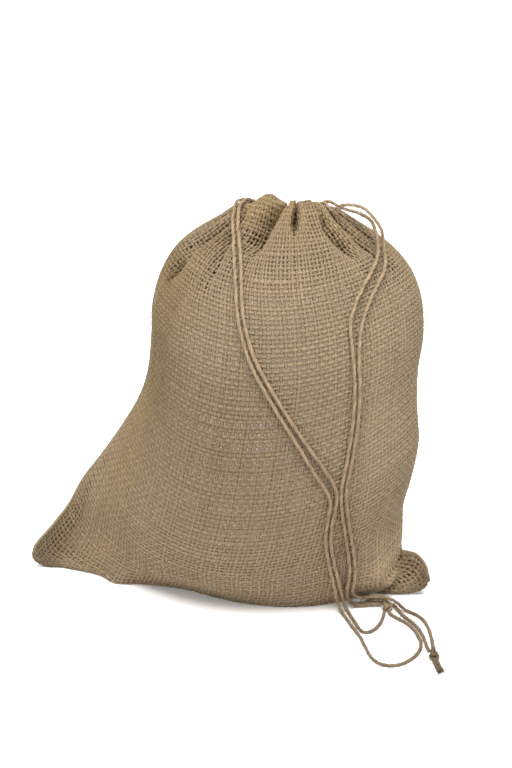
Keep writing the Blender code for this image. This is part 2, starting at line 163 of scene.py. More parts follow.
# The stuffed body
STUFFING_ROWS = 110
STUFFING_COLUMNS = 151
STUFFING_FOOT = 0.02  # the height shares where it starts and ends, under the drawn mouth
STUFFING_TOP = 0.893
STUFFING_FLOOR = 0.9
STUFFING_INSET = 0.85  # how far it lies inside the cloth where it fills it
HOLLOW_INSET = 2.3  # and where it leaves a hollow
MOST_INSET = 0.94  # and at most, as a share of half the bag's thickness
SEAM_INSET = 4.5  # and inside the side seams
EAR_INSET = 0.8  # and how much further from the tips of the ears
EAR_TOP = 0.16  # the height share where an ear ends
MOUTH_HOLLOW = 9.0  # how deep its top dips in the mouth
HOLLOW_DEPTH = 1.15  # its own valleys under the gathers, as a share of their depth
HOLLOW_WIDTH = 1.7  # and of their width
HOLLOW_START = 4.0  # the depth of a valley where it has left the cloth
FULL_UP = (0.02, 0.10)  # the height share where it starts to fill the cloth, and over how much
FULL_DOWN = (0.88, 0.12)  # the one where it has stopped
FULL_ACROSS = (0.97, 0.12)  # and the across share where it has stopped

# Seeds of the random draws
WEAVE_SEED = 3
STRING_SEED = 20
ENTRY_SEED = 30
KNOT_SEED = 40
KNOT_SEED_STEP = 5
FIBRE_SEED = 60

# Colours, as linear red, green and blue
YARN_DARK = (0.172, 0.1262, 0.0745)
YARN_LIGHT = (0.268, 0.201, 0.1225)
WARM = (0.0, 0.07, 0.21)  # how much less of each light the warmest cloth gives back
TWINE_DARK = (0.17, 0.12, 0.072)
TWINE_LIGHT = (0.38, 0.29, 0.19)
TWINE_WARMTH = 0.4
# Painted shade on the twine near the floor, and painted light higher up.
# What share of its colour the twine gives back. Columns: height, over how much it grows, share.
TWINE_PAINTED_FLOOR_SHADE = 0.55
TWINE_PAINTED_LIGHT_BY_HEIGHT = ((2, 25, 0.86 - TWINE_PAINTED_FLOOR_SHADE), (90, 90, 0.14))
WADDING_BROWN = (0.22, 0.175, 0.12)
WADDING_PALE = (0.315, 0.27, 0.213)
# Painted shade: the dark brown of the stuffing in the hollows, where the sack is empty.
HOLLOW_PAINTED_SHADE = (0.16, 0.107, 0.056)

# The side seams and the middle lines of the two panels, from the bottom fold up to the hem.
# Columns: x, y, z.
LEFT_SEAM = (
    (-125, -9, 9.5), (-123, -9, 15.5), (-117, -7.5, 23), (-110, -5, 31.5), (-102, -2.5, 43),
    (-93.5, 0, 59), (-81, 2, 76), (-66, 3, 98), (-54, 4, 119), (-48, 5, 138), (-46, 6, 160),
    (-46, 7, 176), (-42, 8, 193), (-34, 9, 208), (-22, 9, 219), (-6, 9, 229), (7, 9, 237),
    (19, 9, 235), (26, 9, 227),
)
RIGHT_SEAM = (
    (124.5, 5, 10), (124.5, 6, 16), (121.5, 7, 21.5), (117, 7.5, 25.5), (112.5, 6, 27),
    (109, 4, 28), (108.5, 1, 33), (109.2, -1, 42), (109.5, -3, 60), (113.5, -2, 76), (117, 0, 98),
    (115, 2, 122), (115, 4, 142), (117.5, 5, 163), (116, 6, 184), (110, 8, 200), (101, 9, 212),
    (89, 9, 222), (74, 9, 231), (62, 9, 237), (52, 9, 235), (46, 9, 227),
)
FRONT_LINE = (
    (13, 0, -5), (13, -25, -4), (13, -39, 6), (14, -58, 26), (16, -69, 52), (19, -72, 85),
    (23, -69, 120), (28, -60, 155), (32, -47, 186), (35, -32, 211), (36, -21, 230.5),
    (37, -10, 242.5), (37, -2, 240.5), (37, 2, 230),
)
BACK_LINE = (
    (13, 0, -5), (13, 34, -4), (14, 50, 8), (16, 63, 28), (19, 70, 55), (23, 72, 88), (27, 69, 122),
    (31, 61, 154), (34, 51, 184), (36, 42, 205), (37, 32, 221), (37, 24, 230), (37, 18, 228),
    (37, 16, 219),
)

# How a row of cloth runs from a seam to a middle line.
# Columns: height share, roundness of the left and right halves as seen from above (0.5 is an
# ellipse, and 1 a point at the seam), and how late the left and right halves fall to the middle.
ROW_SHAPE = (
    (0.00, 0.80, 0.60, 0.45, 0.60),
    (0.08, 0.92, 0.56, 0.60, 0.90),
    (0.20, 0.72, 0.52, 1.60, 1.40),
    (0.35, 0.58, 0.50, 2.10, 1.80),
    (0.50, 0.50, 0.50, 2.20, 2.00),
    (0.75, 0.50, 0.50, 2.20, 2.00),
    (1.00, 0.50, 0.50, 1.50, 1.50),
)

# The gathers: valleys that run down from the mouth and fade out.
# Columns: depth, half-widths to the left and to the right, the share of the valley's length in
# which it fades in at its foot, and its path from mouth to foot as (across, height share) pairs.
FRONT_FOLDS = (
    (4.0, 0.05, 0.05, 0.60, ((-0.93, 0.94), (-0.93, 0.76))),
    (6.5, 0.06, 0.05, 0.60, ((-0.78, 0.94), (-0.80, 0.86), (-0.85, 0.73))),
    (16.0, 0.10, 0.026, 0.16, (
        (-0.68, 0.94), (-0.64, 0.88), (-0.68, 0.825), (-0.70, 0.79), (-0.69, 0.755), (-0.72, 0.71),
    )),
    (7.0, 0.06, 0.035, 0.60, ((-0.52, 0.94), (-0.50, 0.87), (-0.46, 0.825), (-0.41, 0.777), (-0.38, 0.70))),
    (16.0, 0.16, 0.030, 0.35, (
        (0.11, 0.94), (0.012, 0.925), (-0.03, 0.91), (-0.09, 0.885), (-0.152, 0.848), (-0.19, 0.82),
    )),
    (10.0, 0.030, 0.035, 0.50, ((0.27, 0.94), (0.205, 0.90), (0.18, 0.865))),
    (14.0, 0.028, 0.12, 0.35, (
        (0.57, 0.94), (0.565, 0.907), (0.545, 0.88), (0.555, 0.858), (0.60, 0.823), (0.63, 0.79),
    )),
    (6.5, 0.05, 0.06, 0.60, ((0.80, 0.94), (0.80, 0.84), (0.79, 0.70))),
    (6.0, 0.04, 0.05, 0.40, ((0.95, 0.94), (0.90, 0.79), (0.84, 0.755), (0.84, 0.73), (0.87, 0.70))),
)
BACK_FOLDS = (
    (3.5, 0.05, 0.05, 0.60, ((-0.92, 0.94), (-0.92, 0.79))),
    (9.0, 0.07, 0.05, 0.50, ((-0.71, 0.94), (-0.74, 0.84), (-0.77, 0.67))),
    (7.5, 0.05, 0.05, 0.60, ((-0.48, 0.94), (-0.50, 0.77))),
    (11.0, 0.04, 0.12, 0.50, ((-0.26, 0.94), (-0.23, 0.84), (-0.18, 0.70))),
    (7.5, 0.05, 0.05, 0.60, ((-0.02, 0.94), (-0.05, 0.82))),
    (10.5, 0.11, 0.04, 0.50, ((0.22, 0.94), (0.20, 0.82), (0.16, 0.66))),
    (7.5, 0.05, 0.05, 0.60, ((0.46, 0.94), (0.52, 0.78))),
    (9.0, 0.05, 0.09, 0.50, ((0.68, 0.94), (0.65, 0.82), (0.61, 0.70))),
    (5.0, 0.05, 0.05, 0.60, ((0.90, 0.94), (0.92, 0.72))),
)

# Soft dents and swells over the filling.
# Columns: across share, height share, their half-widths, lean (across per height), height.
FRONT_SWELLS = (
    (-0.32, 0.955, 0.20, 0.040, 0.0, 4.0),
    (0.62, 0.947, 0.20, 0.050, 0.0, 3.2),
    (0.40, 0.895, 0.06, 0.030, 0.0, -1.5),
    (0.265, 0.945, 0.030, 0.022, 0.0, 2.0),
    (-0.47, 0.660, 0.06, 0.110, 0.6, 3.0),
    (-0.66, 0.560, 0.10, 0.160, 0.7, -2.0),
    (0.885, 0.070, 0.06, 0.045, 4.0, -7.0),
    (0.79, 0.115, 0.07, 0.060, -0.8, 5.0),
    (0.96, 0.035, 0.06, 0.035, 0.0, 3.0),
    (-0.84, 0.080, 0.035, 0.060, -0.5, -1.5),
    (-0.92, 0.045, 0.09, 0.050, 0.0, 3.5),
    (-0.62, 0.200, 0.12, 0.050, 0.9, -2.0),
    (-0.19, 0.090, 0.20, 0.060, 0.0, -3.5),
    (0.35, 0.095, 0.26, 0.045, 0.0, 4.5),
    (-0.51, 0.065, 0.07, 0.040, 0.0, 8.0),
    (0.35, 0.250, 0.18, 0.080, 0.3, -1.5),
)
BACK_SWELLS = (
    (0.50, 0.560, 0.10, 0.150, -0.6, 2.5),
    (-0.45, 0.480, 0.12, 0.140, 0.5, -2.5),
    (0.88, 0.090, 0.05, 0.050, 2.0, -5.0),
    (0.96, 0.035, 0.06, 0.035, 0.0, 4.0),
    (-0.87, 0.090, 0.05, 0.060, -1.0, -1.0),
    (-0.92, 0.045, 0.09, 0.050, 0.0, 3.5),
    (0.55, 0.220, 0.14, 0.060, -0.7, -2.0),
)

# Painted light and shade on the cloth, with some uneven tone of its own: lighter at the top and at
# the base, darker over the middle of the belly, at the foot of the deep left fold and at the ears,
# and warmer in the hollows.
# Columns: across share, height share, their half-widths, change of lightness, warmth.
FRONT_TONES_AND_PAINTED_LIGHT = (
    (-0.20, 0.930, 0.80, 0.060, 0.08, 1.0),
    (0.70, 0.870, 0.20, 0.050, 0.15, 0.4),
    (-0.62, 0.740, 0.22, 0.120, -0.06, 0.8),
    (-0.90, 0.725, 0.12, 0.045, -0.20, 0.7),
    (-0.76, 0.744, 0.035, 0.020, -0.42, 0.8),
    (-0.71, 0.724, 0.045, 0.016, -0.36, 0.8),
    (-0.69, 0.800, 0.04, 0.040, -0.15, 0.5),
    (-0.46, 0.840, 0.05, 0.030, -0.22, 0.5),
    (-0.62, 0.590, 0.22, 0.140, -0.20, 0.5),
    (-0.15, 0.500, 0.45, 0.130, -0.23, 0.0),
    (0.05, 0.350, 0.40, 0.090, -0.09, 0.0),
    (0.10, 0.790, 0.30, 0.060, 0.09, 0.0),
    (0.12, 0.620, 0.30, 0.080, -0.05, 0.0),
    (-0.68, 0.380, 0.20, 0.180, -0.02, 0.9),
    (-0.70, 0.160, 0.24, 0.080, -0.05, 0.6),
    (0.75, 0.480, 0.25, 0.100, 0.10, 0.0),
    (0.80, 0.120, 0.25, 0.070, 0.45, 0.1),
    (-0.92, 0.050, 0.12, 0.110, -0.52, 0.5),
    (0.95, 0.030, 0.07, 0.050, -0.52, 0.6),
    (0.00, 0.130, 0.60, 0.060, 0.25, -0.1),
    (0.05, 0.070, 0.70, 0.040, 0.15, 0.0),
)
BACK_TONES_AND_PAINTED_LIGHT = (
    (0.00, 0.940, 0.90, 0.060, -0.03, 0.8),
    (0.30, 0.500, 0.45, 0.150, -0.15, 0.0),
    (-0.92, 0.050, 0.12, 0.110, -0.30, 0.6),
    (0.94, 0.040, 0.10, 0.060, -0.28, 0.6),
    (0.00, 0.130, 0.80, 0.060, 0.20, 0.0),
)

# The strings' routes, each from the mouth to its knot. Columns: x, y, z.
ROUTES = {
    "string_left_a": (
        (12, 10, 236.5), (7, 8, 238.5), (4.5, 4, 237.5), (5.5, -2, 234), (7, -12, 230.7),
        (10.2, -21.5, 221.6), (13.4, -32.5, 209.6), (17, -43, 195.2), (20, -50, 181.5),
        (26, -57.5, 166), (32, -61.5, 154.5), (45.5, -66, 134.5), (59, -66, 113.5), (70, -62.5, 93.5),
        (75, -60, 85), (76.8, -58.5, 77), (75, -57.5, 68), (73, -54.5, 54), (73.5, -46.5, 36),
        (74.5, -37, 20), (75, -32, 10), (76.5, -31.5, 4), (79.5, -35.5, 1), (89, -53.5, 1),
        (97, -68, 1), (103.5, -83, 1), (107.5, -92, 1), (112, -98.5, 1), (117.5, -102, 1),
        (122.5, -101.5, 1), (127, -98, 1), (131, -90, 1), (133.3, -80, 1), (133, -70, 1), (130, -60, 1),
        (125.5, -50.5, 1), (120.5, -43, 1), (114.5, -37.5, 1), (110, -33.5, 1.2), (106.8, -30.7, 1.8),
    ),
    "string_left_b": (
        (15, 9, 237), (11, 5.5, 239.5), (8.5, 1, 237), (9.2, -4.8, 236.2), (10, -9.6, 234.9),
        (11, -14.7, 231), (13, -20.5, 223), (16, -29, 214.5), (18.5, -37, 204), (20.9, -45, 191.5),
        (23.2, -50, 182), (29.5, -57.5, 166), (35.5, -61, 155.5), (48.5, -65, 136.5),
        (62, -64.5, 116.5), (73.5, -60.5, 98.5), (78, -58.5, 90), (80, -57, 83), (79.2, -56.6, 75),
        (77, -55.8, 64), (75.8, -52, 50), (76.4, -44.5, 35), (77.3, -35.5, 20), (78, -29, 9),
        (79.5, -28.5, 4), (82, -32, 1), (88, -44, 1), (93.6, -55.4, 1), (97, -60.3, 1),
        (100.5, -60.3, 1), (103, -55.5, 1), (104.4, -48, 1), (104.8, -40, 1), (104.4, -34.5, 1.2),
        (104.3, -30.6, 1.8),
    ),
    "string_right_a": (
        (66, 11, 235), (72, 8, 235.3), (78, 4.5, 234.8), (83.5, 1, 233.6), (87, -1.5, 231.5),
        (89, -2.6, 228), (91, -4, 223), (91.5, -5, 218.5), (92.5, -9, 213.5), (91, -20.5, 206.5),
        (87, -30.5, 197), (83.8, -38, 186), (83.5, -42, 178), (86.5, -46.5, 160.5), (88, -49, 140.5),
        (87, -51, 120.5), (84.5, -54, 100), (82.4, -56, 86), (82.3, -54.5, 73.5), (83.5, -48.5, 55.5),
        (84, -41, 39), (83.8, -35, 28), (82.2, -31, 19.5), (80.6, -27.5, 11.5), (80.8, -24.5, 5),
        (84, -21.5, 1.2), (89.5, -18.3, 1), (95, -16, 1), (100, -14.8, 1), (105, -15.5, 1),
        (109, -19.5, 1), (112.5, -26.5, 1), (117.5, -33.8, 1), (123, -40.5, 1), (128.1, -48.9, 1),
        (132.7, -59.4, 1), (136, -70, 1), (139, -78, 1.5),
    ),
    "string_right_b": (
        (60, 3, 232), (64, 1, 236.5), (69, -1.5, 240), (75, -3, 241), (80.5, -3, 240.2),
        (85, -3, 237.8), (91.7, -3, 230), (93.8, -3, 225.5), (94.4, -2.5, 218), (96.2, -5.5, 210.8),
        (97.4, -14.5, 206.2), (94.6, -24.6, 198.3), (90.8, -34, 187), (89, -40.5, 175),
        (89.3, -45, 160), (90.5, -47.1, 140), (89.6, -49.3, 120.3), (87.2, -52.5, 100),
        (84.9, -54.3, 86), (85, -52.6, 73), (86.2, -46.5, 55), (86.8, -38, 38), (86.5, -32.3, 26.3),
        (85.2, -28.2, 17.7), (83.6, -25, 11.5), (84, -22.5, 7), (87, -20.5, 5), (91, -19.2, 5),
        (96, -18.8, 6), (101, -19.8, 6.7), (105.5, -21.3, 6.7), (110.7, -22, 4.7), (116, -23.8, 1),
        (121, -27, 1), (125.5, -31, 1), (130, -38, 1), (134, -48.3, 1), (137.4, -60, 1), (140, -71, 1),
        (141.5, -77.6, 1.5),
    ),
}

# Paler stretches of the strings: painted light that lifts the shade near the foot of the bag.
# Columns: x, y, z, reach, change of lightness.
TWINE_PAINTED_LIGHT_SPOTS = (
    (95, -18, 4, 14, 0.38),
    (78, -32, 8, 14, 0.40),
    (86, -32, 26, 14, 0.20),
    (102, -20, 5, 8, 0.10),
)

# Where the strings come from inside the mouth, each up to where its route starts. Columns: x, y, z.
ENTRIES = {
    "string_left_a": ((20, 12, 226), (16.5, 11.5, 231.5)),
    "string_left_b": ((22, 11, 227), (19, 11, 232.5)),
    "string_right_a": ((48, 12, 227), (51, 12.5, 235), (58, 12.5, 239)),
    "string_right_b": ((51, 9.5, 228), (53.5, 8.5, 236), (57.5, 5, 239)),
}

# The knots, each from its near end, where its strands go in, to its far end.
# Columns: distance from the near end, half-width, half-height.
SHORT_KNOT = (
    (0.0, 1.2, 1.2), (1.5, 2.8, 2.2), (3.5, 3.4, 2.7), (5.0, 3.0, 2.4), (6.5, 3.3, 2.6),
    (8.5, 2.6, 2.1), (10.0, 1.2, 1.2),
)
TAILED_KNOT = (
    (0.0, 1.5, 1.4), (1.5, 2.6, 2.2), (4.5, 3.0, 2.6), (7.5, 2.7, 2.4), (10.5, 2.9, 2.5),
    (13.0, 2.5, 2.1), (15.0, 2.1, 1.4), (18.0, 2.3, 1.2), (22.0, 2.4, 1.2), (26.0, 2.3, 1.1),
)
# The tails that leave them. Columns: x, y, z.
LEFT_TAIL_A = (
    (104.2, -20.5, 2.4), (101.5, -19.2, 2.2), (97, -20.4, 1.9), (92, -22.4, 1.5), (85, -24.4, 1.2),
)
LEFT_TAIL_B = (
    (104.2, -20.5, 3.2), (102.5, -17, 3.8), (99, -14.6, 3.4), (94.5, -14.2, 2.8), (91, -15, 2.4),
)
RIGHT_TAIL_A = (
    (143.2, -90.2, 2.6), (144.4, -92.8, 1.6), (146.3, -97.5, 1.15), (148.4, -102.2, 1.15),
)
RIGHT_TAIL_B = (
    (144.8, -89.6, 2.4), (146.2, -92.4, 1.6), (148.1, -96.9, 1.15), (149.9, -101.2, 1.15),
)
# The knots' lightness is painted shade, darkest on the right knot.
# Columns: name, near end x and y, heading in degrees from +X, profile, tails, lightness.
KNOTS = (
    ("knot_left", 105.4, -29.6, 97.0, SHORT_KNOT, (LEFT_TAIL_A, LEFT_TAIL_B), 0.80),
    ("knot_right", 140.4, -78.8, -70.0, TAILED_KNOT, (RIGHT_TAIL_A, RIGHT_TAIL_B), 0.42),
)
# Columns: name, tones with painted light and shade, middle line, folds, swells, and the side that it faces.
PANELS = (
    ("front", FRONT_TONES_AND_PAINTED_LIGHT, FRONT_LINE, FRONT_FOLDS, FRONT_SWELLS, 1),
    ("back", BACK_TONES_AND_PAINTED_LIGHT, BACK_LINE, BACK_FOLDS, BACK_SWELLS, -1),
)


def smooth_curve(places, points, wanted):
    """Values at wanted of a smooth curve that has points at places (a cubic through them)."""
    gaps = np.diff(places)[:, None]
    slopes = np.empty_like(points)
    slopes[1:-1] = (points[2:] - points[:-2]) / (gaps[1:] + gaps[:-1])
    slopes[[0, -1]] = (points[[1, -1]] - points[[0, -2]]) / gaps[[0, -1]]
    i = np.clip(np.searchsorted(places, wanted, side="right") - 1, 0, len(gaps) - 1)
    gap = gaps[i]
    t = (wanted - places[i])[:, None] / gap
    start = (1 + 2 * t) * (1 - t) ** 2 * points[i] + t * (1 - t) ** 2 * gap * slopes[i]
    end = (3 - 2 * t) * t**2 * points[i + 1] - (1 - t) * t**2 * gap * slopes[i + 1]
    return start + end


def lengths_along(points):
    """The length from the first point to each point of a line, or of each row of a grid."""
    steps = np.linalg.norm(np.diff(points, axis=-2), axis=-1)
    return np.concatenate([0 * steps[..., :1], steps.cumsum(axis=-1)], axis=-1)


def through(points, steps=600):
    """A dense smooth line through the points."""
    points = np.array(points, float)
    places = np.concatenate([[0.0], np.cumsum(np.sqrt(np.diff(lengths_along(points))))])
    return smooth_curve(places, points, np.linspace(0, places[-1], steps))


def between(values, places, wanted):
    """The points at wanted of a line that has values at places."""
    return np.stack([np.interp(wanted, places, values[:, k]) for k in range(3)], -1)


def at_shares(line, shares):
    """The points of a dense line at these shares of its length."""
    run = lengths_along(line)
    return between(line, run / run[-1], shares)


def evenly(line, count):
    """This many points, evenly spaced along a dense line."""
    return at_shares(line, np.linspace(0, 1, count))


def smooth_step(t):
    """0 up to 0, 1 from 1, and smooth between."""
    t = np.clip(t, 0, 1)
    return t * t * (3 - 2 * t)


def unit(vectors):
    """The vectors at length 1."""
    return vectors / np.maximum(np.linalg.norm(vectors, axis=-1, keepdims=True), 1e-9)


def outward(points):
    """The unit normals of a grid of points, by the differences between neighbours."""
    return unit(np.cross(np.gradient(points, axis=1), np.gradient(points, axis=0)))


def around(side, out, angle):
    """The directions at an angle, in radians, from side towards out."""
    return side * np.cos(angle) + out * np.sin(angle)


def framed(centre, out):
    """The side and out directions of tubes along these points, square to them and close to out."""
    forward = unit(np.gradient(centre, axis=1))
    side = unit(np.cross(forward, out))
    return side, np.cross(side, forward)


def bell(reach):
    """Weights that fall off over about reach steps to each side."""
    steps = np.arange(-3 * reach, 3 * reach + 1)
    return np.exp(-0.5 * (steps / reach) ** 2)


def smooth_noise(random, shape, reach, axis=1):
    """Random numbers of about unit spread, alike over about reach steps along an axis."""
    noise = random.standard_normal(shape)
    weights = bell(reach)
    weights /= np.sqrt((weights**2).sum())
    pad = [(0, 0)] * len(shape)
    pad[axis] = (3 * reach, 3 * reach)
    padded = np.pad(noise, pad, mode="wrap")
    return np.apply_along_axis(lambda line: np.convolve(line, weights, "valid"), axis, padded)


def half_row(seam, middle, roundness, lateness, steps=120):
    """Rows of points from the seam to the middle line, one row for each height share."""
    turn = np.linspace(0, math.pi / 2, steps)[None, :]
    forward = np.sin(turn) ** (2 * roundness[:, None])
    fall = np.sin(turn) ** lateness[:, None]
    shares = np.stack([1 - np.cos(turn) + 0 * forward, forward, fall], -1)
    return seam[:, None] + (middle - seam)[:, None] * shares


def smooth_panel(line, up, across):
    """The grid of points of one panel's smooth form."""
    left, right, middle = (at_shares(through(edge), up) for edge in (LEFT_SEAM, RIGHT_SEAM, line))
    shape_rows = np.array(ROW_SHAPE)
    shape = smooth_curve(shape_rows[:, 0], shape_rows[:, 1:], up)
    left_half = half_row(left, middle, shape[:, 0], shape[:, 2])
    right_half = half_row(right, middle, shape[:, 1], shape[:, 3])
    rows = np.concatenate([left_half, right_half[:, -2::-1]], axis=1)
    return np.stack([at_shares(row, (across + 1) / 2) for row in rows])


def valley_line(path, fade, up):
    """The across share of a valley at these height shares, and how far it has faded in there."""
    path = np.array(path)[::-1]
    foot, mouth = path[0, 1], path[-1, 1]
    valley = smooth_curve(path[:, 1], path[:, :1], np.clip(up, foot, mouth))
    return valley, smooth_step((up - foot) / (fade * (mouth - foot)))


def left_over(up, share):
    """How much of a valley is left at these height shares: 1, and over the crest this share."""
    start, end = MOUTH_EASE
    return 1 - (1 - share) * smooth_step((up - start) / (end - start))


def fold_height(folds, across, up):
    """How far the gathers sink into the cloth's smooth form, over a grid of columns and rows."""
    height = np.zeros((len(up), len(across)))
    for depth, left_width, right_width, fade, path in folds:
        valley, strength = valley_line(path, fade, up)
        shift = across[None, :] - valley
        reach = np.where(shift < 0, -shift / left_width, shift / right_width)
        strength = depth * strength * left_over(up, MOUTH_FOLD_SHARE)
        height -= strength[:, None] * np.exp(-(reach**FOLD_POWER))
    return height * (1 - across[None, :] ** SEAM_POWER)


def crease_height(folds, across, up, smooth, folded):
    """How far the narrow creases sink at the bottom of the gathers, to take up the spare cloth."""
    widths = lengths_along(smooth)[:, -1:]
    spare = np.maximum(GATHERED_WIDTH - lengths_along(folded)[:, -1], 0)
    height = np.zeros((len(up), len(across)))
    strengths = np.zeros(len(up))
    for *_, fade, path in folds:
        valley, strength = valley_line(path, fade, up)
        reach = (across[None, :] - valley) * widths / 2 / CREASE_HALF_WIDTH
        height -= strength[:, None] * np.exp(-(reach**2))
        strengths += strength
    share = left_over(up, CREASE_MOUTH_SHARE)
    return height * (share * spare / 2 / np.maximum(strengths, 1))[:, None]


def nearness(across, up, middle, middle_up, half_width, half_height, lean=0.0):
    """1 at the middle of an oval area of the cloth, and falling off around it."""
    shift = across - middle - lean * (up - middle_up)
    return np.exp(-((shift / half_width) ** 2 + ((up - middle_up) / half_height) ** 2))


def swell_height(swells, across, up):
    """How far the dents and swells stand out of the cloth's smooth form."""
    across, up = across[None, :], up[:, None]
    height = sum(rise * nearness(across, up, *area) for *area, rise in swells)
    return height * (1 - across**SWELL_SEAM_POWER)


def cloth_tint_and_painted_light(tones_and_painted_light, across, up):
    """The cloth's share of each colour at these places, from a table of painted light, shade and tone."""
    light, warm = np.ones_like(across), np.zeros_like(across)
    for *area, change, warmth in tones_and_painted_light:
        near = nearness(across, up, *area)
        light += change * near
        warm += warmth * near
    return light[..., None] * (1 - warm[..., None] * WARM)


def twine_painted_light(line):
    """The twine's share of each colour: painted light high up and in pale spots, painted shade near the
    floor.
    """
    height = line[..., 2] / MM
    light = TWINE_PAINTED_FLOOR_SHADE
    for start, rise, change in TWINE_PAINTED_LIGHT_BY_HEIGHT:
        light = light + change * smooth_step((height - start) / rise)
    for *middle, reach, change in TWINE_PAINTED_LIGHT_SPOTS:
        apart = np.linalg.norm(line / MM - middle, axis=-1)
        light = light + change * np.exp(-((apart / reach) ** 2))
    return light[..., None] * (1 - TWINE_WARMTH * np.array(WARM))


def eased(values, reach):
    """The values of a grid, smoothed along its columns over about reach rows to each side."""
    weights = bell(reach)
    weights /= weights.sum()
    padded = np.pad(values, ((3 * reach, 3 * reach), (0, 0)), mode="edge")
    return sum(w * padded[k : k + len(values)] for k, w in enumerate(weights))


def sampled(grid, across, up):
    """Values of a fine grid at places on the cloth, read between its points."""
    rows, columns = grid.shape[:2]
    row = np.clip(up, 0, 1) * (rows - 1)
    column = (np.clip(across, -1, 1) + 1) / 2 * (columns - 1)
    i = np.minimum(row.astype(int), rows - 2)
    j = np.minimum(column.astype(int), columns - 2)
    s, t = (row - i)[..., None], (column - j)[..., None]
    low = grid[i, j] * (1 - t) + grid[i, j + 1] * t
    high = grid[i + 1, j] * (1 - t) + grid[i + 1, j + 1] * t
    return low * (1 - s) + high * s


def folded_panel(line, folds, swells, side):
    """One panel as it lies, with its gathers, in columns that follow its warp.

    The columns are spaced evenly along each folded row, and drift sideways into a gather only
    as fast as the cloth can shear.
    """
    up = np.linspace(0, 1, FINE_ROWS + 1)
    across = np.linspace(-1, 1, FINE_COLUMNS + 1)
    smooth = smooth_panel(line, up, across)
    out = side * outward(smooth)
    height = fold_height(folds, across, up) + swell_height(swells, across, up)
    height += crease_height(folds, across, up, smooth, smooth + out * height[..., None])
    folded = smooth + out * height[..., None]
    runs = lengths_along(folded)
    warp = np.stack([np.interp((across + 1) / 2, run / run[-1], across) for run in runs])
    warp = eased(warp, SHEAR_ROWS)
    return sampled(folded, warp, np.broadcast_to(up[:, None], warp.shape))


def add_object(name, data):
    """An object of this data in the scene."""
    made = bpy.data.objects.new(name, data)
    bpy.context.scene.collection.objects.link(made)
    return made


def add_piece(mesh, material, slot, *nodes):
    """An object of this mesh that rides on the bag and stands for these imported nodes."""
    mesh.materials.append(material)
    piece = add_object(mesh.name, mesh)
    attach(piece, "root")
    if nodes:
        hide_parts(*nodes)
    return piece


def add_layer(mesh, name, kind, domain, field, values):
    """A layer of numbers on a mesh's points or corners."""
    layer = mesh.attributes.new(name, kind, domain)
    layer.data.foreach_set(field, np.asarray(values, np.float32).ravel())


def mesh_from(name, vertices, face_groups, spot):
    """A smooth-shaded mesh and its map. Each group holds faces with the same number of corners."""
    mesh = bpy.data.meshes.new(name)
    faces = [face for group in face_groups for face in group.tolist()]
    mesh.from_pydata(vertices.tolist(), [], faces)
    mesh.shade_smooth()
    uv = mesh.uv_layers.new(name="OFBake")
    uv.data.foreach_set("uv", spot.astype(np.float32).ravel())
    return mesh


def add_tubes(name, tubes, corners, tint, material, slot, *nodes):
    """A piece of closed tubes: their middles, sides, outs, half-widths and half-heights.

    Its strand attribute gives metres along the tube, the share of the way round it, and its number,
    and its map lays the tubes side by side.
    """
    centre, side, out, half_width, half_height = tubes
    count, points = centre.shape[:2]
    turn = 2 * np.pi * np.arange(corners) / corners
    place = (
        centre[:, :, None]
        + side[:, :, None] * (half_width[:, :, None] * np.cos(turn))[..., None]
        + out[:, :, None] * (half_height[:, :, None] * np.sin(turn))[..., None]
    )
    place[..., 2] = np.maximum(place[..., 2], FLOOR_GAP * MM)
    tube = np.arange(count)[:, None, None]
    corner = np.arange(corners)[None, None, :]
    here = (tube * points + np.arange(points - 1)[None, :, None]) * corners + corner
    beside = here - corner + (corner + 1) % corners
    quads = np.stack([here, beside, beside + corners, here + corners], -1).reshape(-1, 4)
    start = tube[:, :, 0] * points * corners + np.arange(corners)
    caps = np.concatenate([start[:, ::-1], start + (points - 1) * corners])
    run = lengths_along(centre)
    along = np.stack([run[:, :-1], run[:, :-1], run[:, 1:], run[:, 1:]], -1)[:, :, None]
    share = np.stack([corner, corner + 1, corner + 1, corner], -1) / corners
    size = (count, points - 1, corners, 4)
    strand = [np.broadcast_to(part, size) for part in (along, share, tube[..., None])]
    strand = np.stack(strand, -1).reshape(-1, 3)
    cap_along = run[:, [0, -1]].T.repeat(corners)
    cap_number = np.tile(np.arange(count), 2).repeat(corners)
    cap_strand = np.stack([cap_along, 0.5 + 0 * cap_along, cap_number], -1)
    strand = np.concatenate([strand, cap_strand])
    map_along = MAP_MARGIN + (1 - 2 * MAP_MARGIN) * strand[:, 0] / run[:, -1].max()
    map_across = (strand[:, 2] + MAP_GAP + (1 - 2 * MAP_GAP) * strand[:, 1]) / count
    spot = np.stack([map_along, map_across], -1)
    mesh = mesh_from(name, place.reshape(-1, 3), [quads, caps], spot)
    add_layer(mesh, "strand", "FLOAT_VECTOR", "CORNER", "vector", strand)
    tint = np.broadcast_to(tint, centre.shape).repeat(corners, axis=1)
    add_layer(mesh, "tint", "FLOAT_VECTOR", "POINT", "vector", tint)
    return add_piece(mesh, material, slot, *nodes)


def noises(random, shape, levels, axis=1):
    """Smooth noise at several levels, each a share and a reach."""
    return [share * smooth_noise(random, shape, reach, axis) for share, reach in levels]


def wander(random, yarns, axis):
    """How far each yarn strays to the side at each crossing, in pitches. yarns is its own shape."""
    own = OWN_WANDER * random.standard_normal(yarns)
    return sum(noises(random, (WARPS, WEFTS), WANDER, axis), own)


def crossings(random):
    """Where the yarns cross: across and height shares, as (warps, wefts) arrays."""
    across = (-1 + (2 * np.arange(WARPS) + 1) / WARPS)[:, None]
    up = ((np.arange(WEFTS) + 0.5) / WEFTS)[None, :]
    warp_wander = wander(random, (WARPS, 1), 1)
    weft_wander = wander(random, (1, WEFTS), 0)
    edge = 1 - np.abs(across) ** STRAIGHT_POWER
    return across + warp_wander * edge * 2 / WARPS, up + weft_wander / WEFTS


